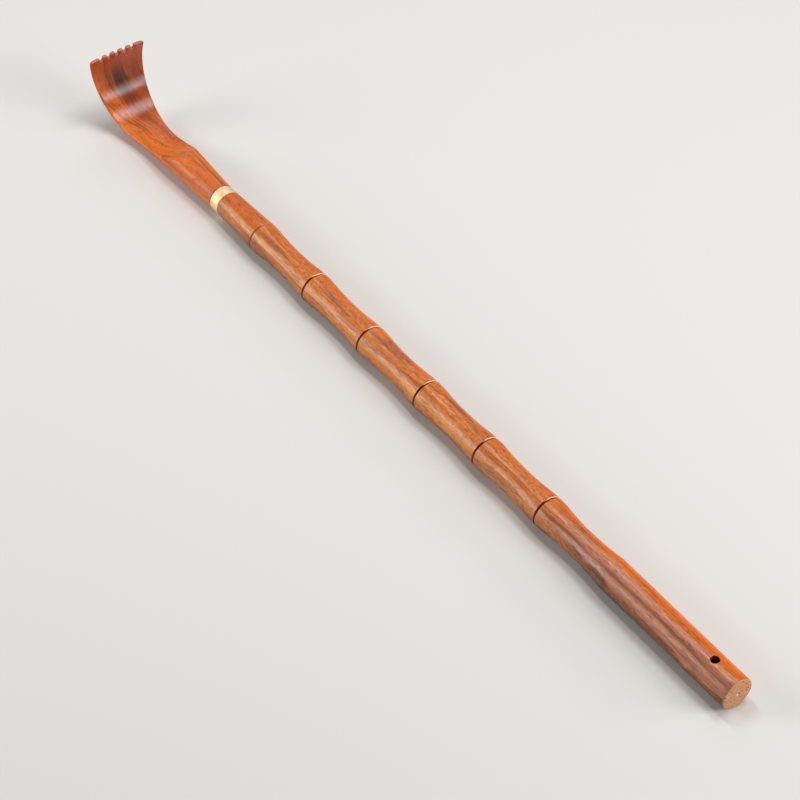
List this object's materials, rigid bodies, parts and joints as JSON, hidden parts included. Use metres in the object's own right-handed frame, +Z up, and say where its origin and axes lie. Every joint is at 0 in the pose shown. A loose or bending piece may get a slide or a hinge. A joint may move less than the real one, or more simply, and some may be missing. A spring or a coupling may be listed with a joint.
{
  "type": "back scratcher",
  "caption": "Wooden back scratcher with a bamboo-form turned handle, a flush brass ferrule and a carved scoop head with a toothed edge.",
  "frame": {"origin": "on the table under the middle of the whole length", "axes": "+X along the handle towards the butt, the head at -X, +Z up, the teeth pointing up, symmetric across Y"},
  "size_m": [0.43, 0.0284, 0.0356],
  "materials": {
    "handle_wood": "oiled and polished rosewood, satin gloss",
    "head_wood": "oiled and polished rosewood, satin gloss",
    "brass": "polished",
    "dowel_wood": "plain turned hardwood"
  },
  "bodies": {
    "root": {"handle": "handle_wood", "ferrule": "brass", "joint_dowel": "dowel_wood", "head": "head_wood"}
  },
  "joints": []
}
